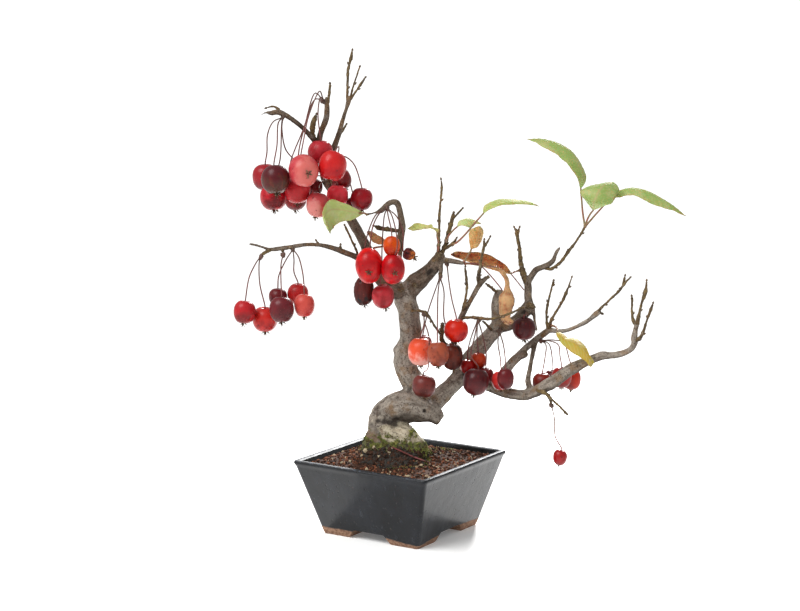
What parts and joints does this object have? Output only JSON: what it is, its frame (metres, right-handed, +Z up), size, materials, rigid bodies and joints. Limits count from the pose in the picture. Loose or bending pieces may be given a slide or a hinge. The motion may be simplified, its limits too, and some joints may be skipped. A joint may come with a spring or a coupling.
{
  "type": "crabapple bonsai",
  "caption": "Crabapple bonsai with bunches of apples on long stalks, a few leaves, a curved bare trunk and limbs, in a square footed glazed pot of soil.",
  "frame": {"origin": "centre of the whole tree's bounding box, on the ground under the pot's feet", "axes": "+Z up; -Y out of the pot's front face; +X out of the pot's right face, the side that the lower limbs reach to"},
  "size_m": [0.239, 0.1874, 0.315],
  "materials": {
    "glazed_stoneware": "dark blue-black glaze, unglazed feet",
    "black_plastic": "moulded",
    "baked_clay_soil": "loose grains",
    "grey_bark": "rough bark",
    "apple_skin": "smooth waxy skin",
    "green_leaf": "satin leaf",
    "dry_leaf": "dry papery leaf"
  },
  "bodies": {
    "root": {"pot": "glazed_stoneware", "drain_mesh": "black_plastic", "soil": "baked_clay_soil", "wood": "grey_bark", "apples_top_left": "apple_skin", "apples_top": "apple_skin", "apples_top_middle": "apple_skin", "apples_top_right": "apple_skin", "apples_left_tip": "apple_skin", "apples_left_middle": "apple_skin", "apples_left_inner": "apple_skin", "apples_centre": "apple_skin", "apples_crown": "apple_skin", "apple_crown_arm": "apple_skin", "apples_trunk_twig": "apple_skin", "apples_inner": "apple_skin", "apples_fork": "apple_skin", "apple_knob": "apple_skin", "apples_lower_right": "apple_skin", "apple_pendant": "apple_skin", "leaf_left": "green_leaf", "leaf_crown_left": "green_leaf", "leaf_crown_middle": "green_leaf", "leaf_crown_long": "green_leaf", "leaf_yellow": "green_leaf", "leaf_shoot": "green_leaf", "leaf_ochre": "dry_leaf", "leaf_dry_long": "dry_leaf", "leaf_dry_hanging": "dry_leaf", "leaf_dry_small": "dry_leaf"}
  },
  "joints": []
}
